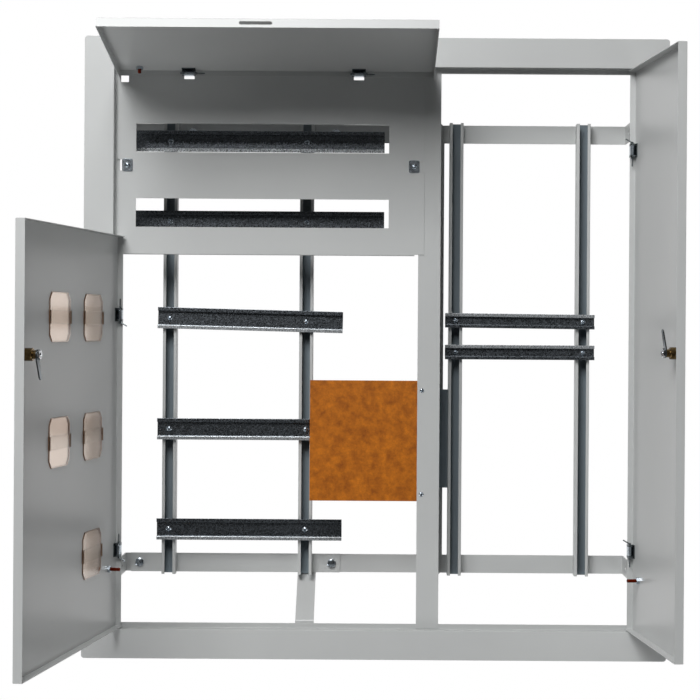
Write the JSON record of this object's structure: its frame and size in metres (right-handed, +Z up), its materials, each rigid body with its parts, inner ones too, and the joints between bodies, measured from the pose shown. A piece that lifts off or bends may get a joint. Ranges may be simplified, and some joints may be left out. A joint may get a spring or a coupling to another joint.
{
  "type": "floor distribution board",
  "caption": "Flush wall distribution board of painted sheet steel: trim frame, open cage of rails, slotted breaker panel, lift-up flap, meter door with windows and telecom door with cam locks",
  "frame": {"origin": "centre of the trim on the wall's surface, in the plane of the trim's back face", "axes": "X to the right seen from the room, Y into the wall niche, Z up"},
  "size_m": [0.9571, 0.6049, 1],
  "materials": {
    "grey_paint": "light grey semi-gloss powder coat on sheet steel",
    "galvanised_steel": "hot-dip galvanised strip with a fine spangle",
    "zinc_plate": "bright zinc plate",
    "bronze_casting": "dull bronze-coloured casting",
    "bright_chrome": "polished",
    "copper_plate": "copper-plated steel",
    "paper_laminate": "mottled orange-brown resin-bonded paper sheet",
    "clear_moulding": "clear moulding with a faint peach tint"
  },
  "bodies": {
    "frame": {"bar_bolts": "zinc_plate", "board_bracket": "grey_paint", "board_screws": "zinc_plate", "breaker_panel": "grey_paint", "breaker_rail_lower": "galvanised_steel", "breaker_rail_upper": "galvanised_steel", "centre_post": "grey_paint", "compartment_partition": "grey_paint", "flap_left_frame_hinge": "zinc_plate", "flap_right_frame_hinge": "zinc_plate", "insulating_board": "paper_laminate", "lower_rear_bow": "grey_paint", "meter_door_lower_frame_hinge": "zinc_plate", "meter_door_upper_frame_hinge": "zinc_plate", "meter_frame_lower_bar": "grey_paint", "meter_frame_upper_bar": "grey_paint", "meter_left_upright": "grey_paint", "meter_rail_lower": "galvanised_steel", "meter_rail_middle": "galvanised_steel", "meter_rail_upper": "galvanised_steel", "meter_right_upright": "grey_paint", "panel_clip_screws": "zinc_plate", "panel_clips": "zinc_plate", "rail_screws": "zinc_plate", "telecom_door_lower_frame_hinge": "zinc_plate", "telecom_door_upper_frame_hinge": "zinc_plate", "telecom_left_upright": "grey_paint", "telecom_rail_lower": "galvanised_steel", "telecom_rail_upper": "galvanised_steel", "telecom_right_upright": "grey_paint", "trim_frame": "grey_paint", "upper_rear_bow": "grey_paint", "upright_rear_bow": "grey_paint"},
    "meter_door": {"meter_door": "grey_paint", "meter_door_earth_stud": "copper_plate", "meter_door_hinge_pins": "zinc_plate", "meter_door_lower_hinge_fork": "zinc_plate", "meter_door_upper_hinge_fork": "zinc_plate", "meter_lock_housing": "bronze_casting", "meter_window_lower_inner": "clear_moulding", "meter_window_middle_inner": "clear_moulding", "meter_window_middle_outer": "clear_moulding", "meter_window_upper_inner": "clear_moulding", "meter_window_upper_outer": "clear_moulding"},
    "meter_lock": {"meter_lock_cam": "bright_chrome", "meter_lock_core": "bright_chrome"},
    "telecom_door": {"telecom_door": "grey_paint", "telecom_door_earth_stud": "copper_plate", "telecom_door_hinge_pins": "zinc_plate", "telecom_door_lower_hinge_fork": "zinc_plate", "telecom_door_upper_hinge_fork": "zinc_plate", "telecom_lock_housing": "bronze_casting"},
    "telecom_lock": {"telecom_lock_cam": "bright_chrome", "telecom_lock_core": "bright_chrome"},
    "flap": {"flap": "grey_paint", "flap_earth_stud": "copper_plate", "flap_hinge_pins": "zinc_plate", "flap_left_hinge_fork": "zinc_plate", "flap_right_hinge_fork": "zinc_plate"}
  },
  "joints": [
    {"name": "meter_door_hinge", "type": "hinge", "parent": "frame", "child": "meter_door", "pos_m": [-0.4115, 0.0063, 0], "axis": [0, 0, 1], "range_deg": [-3, 97.8]},
    {"name": "meter_lock_turn", "type": "hinge", "parent": "meter_door", "child": "meter_lock", "pos_m": [-0.47488, -0.45638, -0.0065], "axis": [0.9907, -0.1357, 0], "range_deg": [-90, 0]},
    {"name": "telecom_door_hinge", "type": "hinge", "parent": "frame", "child": "telecom_door", "pos_m": [0.4115, 0.0063, 0], "axis": [0, 0, 1], "range_deg": [-95.3, 6.7]},
    {"name": "telecom_lock_turn", "type": "hinge", "parent": "telecom_door", "child": "telecom_lock", "pos_m": [0.43741, -0.273, -0.0013], "axis": [-0.9957, -0.0924, 0], "range_deg": [-90, 0]},
    {"name": "flap_hinge", "type": "hinge", "parent": "frame", "child": "flap", "pos_m": [-0.164, 0.0063, 0.4415], "axis": [1, 0, 0], "range_deg": [-3.2, 98.8]}
  ]
}
